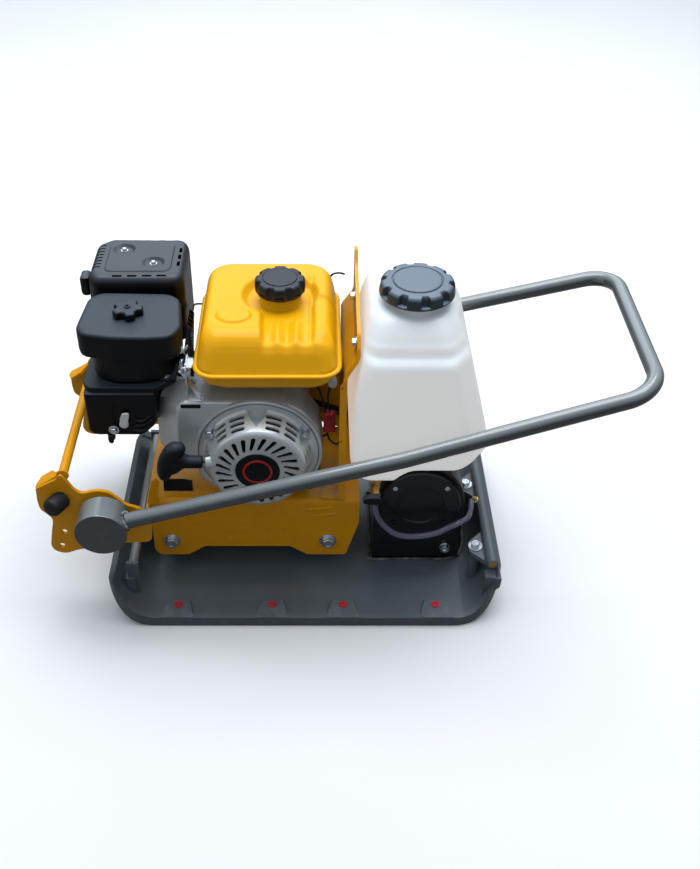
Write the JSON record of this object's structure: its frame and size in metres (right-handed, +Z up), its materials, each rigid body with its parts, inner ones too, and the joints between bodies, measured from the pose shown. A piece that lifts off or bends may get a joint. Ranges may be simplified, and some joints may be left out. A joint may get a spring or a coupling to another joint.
{
  "type": "plate compactor",
  "caption": "Forward plate compactor with petrol engine, belt-driven exciter, spray-water tank and fold-over tubular handle.",
  "frame": {"origin": "centre of the base plate's flat underside, on the machine's mid-plane", "axes": "+X forwards to the spray bar, +Y to the belt side along the crankshaft, +Z up"},
  "size_m": [0.9505, 0.454, 0.536],
  "materials": {
    "anthracite_paint": "satin cast and painted",
    "slate_paint": "gloss powder coat",
    "yellow_paint": "gloss powder coat",
    "black_metal": "satin",
    "bright_steel": "bright zinc",
    "cast_aluminium": "as cast",
    "silver_paint": "silver-grey metallic paint",
    "rubber": "matt",
    "black_plastic": "satin moulded",
    "cap_plastic": "satin moulded",
    "white_plastic": "translucent blow-moulded",
    "brass": "machined",
    "clear_hose": "clear flexible tube"
  },
  "bodies": {
    "chassis": {"base_plate": "anthracite_paint", "rear_lift_rod": "slate_paint", "spray_bar": "anthracite_paint", "exciter_housing": "black_metal", "exciter_cover_near": "black_metal", "exciter_cover_far": "black_metal", "exciter_bearing_near": "bright_steel", "exciter_bearing_far": "bright_steel", "drive_belt": "rubber", "belt_guard": "yellow_paint", "engine_bed": "yellow_paint", "handle_bracket_near": "yellow_paint", "handle_bracket_far": "yellow_paint", "rear_cross_tube": "yellow_paint", "tank_bracket": "yellow_paint", "fuel_tank": "yellow_paint", "handle_stop_near": "rubber", "handle_stop_far": "rubber", "handle_pivot_near": "bright_steel", "handle_pivot_far": "bright_steel", "crankcase": "cast_aluminium", "cylinder_head": "cast_aluminium", "fan_cover": "silver_paint", "recoil_cover": "silver_paint", "spark_plug_cap": "rubber", "air_filter_base": "black_plastic", "air_filter_cover": "black_plastic", "carburettor_cover": "black_plastic", "carburettor": "cast_aluminium", "muffler": "black_metal", "muffler_guard": "black_metal", "control_plate": "bright_steel", "water_tank": "white_plastic", "water_tap": "brass", "water_hose": "clear_hose", "hose_barb": "brass", "rubber_mount_rear_near": "rubber", "mount_bolt_rear_near": "bright_steel", "rubber_mount_rear_far": "rubber", "mount_bolt_rear_far": "bright_steel", "rubber_mount_front_near": "rubber", "mount_bolt_front_near": "bright_steel", "rubber_mount_front_far": "rubber", "mount_bolt_front_far": "bright_steel"},
    "handle": {"handle_frame": "slate_paint"},
    "crank": {"crankshaft": "bright_steel", "flywheel_fan": "cast_aluminium", "clutch_pulley": "bright_steel"},
    "exciter_rotor": {"exciter_shaft": "bright_steel", "exciter_pulley": "cast_aluminium"},
    "recoil_reel": {"starter_reel": "black_plastic"},
    "pull_grip": {"starter_grip": "black_plastic"},
    "fuel_filler_cap": {"fuel_cap": "cap_plastic"},
    "water_filler_cap": {"water_cap": "cap_plastic"},
    "filter_nut": {"filter_knob": "black_plastic"},
    "choke": {"choke_lever": "white_plastic"},
    "fuel_valve": {"fuel_valve_lever": "black_plastic"},
    "throttle": {"throttle_lever": "bright_steel"},
    "water_valve": {"tap_lever": "black_plastic"}
  },
  "joints": [
    {"name": "handle_fold", "type": "hinge", "parent": "chassis", "child": "handle", "pos_m": [-0.3205, 0, 0.192], "axis": [0, -1, 0], "range_deg": [0, 118]},
    {"name": "crank_spin", "type": "hinge", "parent": "chassis", "child": "crank", "pos_m": [-0.0766, 0, 0.27], "axis": [0, 1, 0], "continuous": true},
    {"name": "exciter_spin", "type": "hinge", "parent": "chassis", "child": "exciter_rotor", "pos_m": [0.187, 0, 0.147], "axis": [0, 1, 0], "continuous": true},
    {"name": "starter_pull", "type": "slide", "parent": "chassis", "child": "pull_grip", "axis": [-1, 0, 0], "range_m": [0, 0.12]},
    {"name": "reel_turn", "type": "hinge", "parent": "chassis", "child": "recoil_reel", "pos_m": [-0.0766, 0, 0.27], "axis": [0, 1, 0], "range_deg": [0, 140]},
    {"name": "fuel_cap_turn", "type": "hinge", "parent": "chassis", "child": "fuel_filler_cap", "pos_m": [-0.0415, 0.03, 0.48], "axis": [0, 0, 1], "range_deg": [0, 90]},
    {"name": "water_cap_turn", "type": "hinge", "parent": "chassis", "child": "water_filler_cap", "pos_m": [0.166, -0.018, 0.5], "axis": [0, 0, 1], "range_deg": [0, 360]},
    {"name": "filter_nut_turn", "type": "hinge", "parent": "chassis", "child": "filter_nut", "pos_m": [-0.271, -0.027, 0.478], "axis": [0, 0, 1], "continuous": true},
    {"name": "choke_turn", "type": "hinge", "parent": "chassis", "child": "choke", "pos_m": [-0.286, -0.0883, 0.318], "axis": [0, 1, 0], "range_deg": [-30, 30]},
    {"name": "fuel_valve_turn", "type": "hinge", "parent": "chassis", "child": "fuel_valve", "pos_m": [-0.31, -0.0883, 0.288], "axis": [0, 1, 0], "range_deg": [-60, 0]},
    {"name": "throttle_turn", "type": "hinge", "parent": "chassis", "child": "throttle", "pos_m": [-0.185, -0.08, 0.415], "axis": [1, 0, 0], "range_deg": [-25, 25]},
    {"name": "water_valve_turn", "type": "hinge", "parent": "chassis", "child": "water_valve", "pos_m": [0.111, -0.1303, 0.198], "axis": [0, -1, 0], "range_deg": [0, 90]}
  ],
  "couplings": [
    {"joint": "exciter_spin", "follows": "crank_spin", "ratio": 1.5152},
    {"joint": "reel_turn", "follows": "starter_pull", "rad_per_m": 19.231}
  ]
}
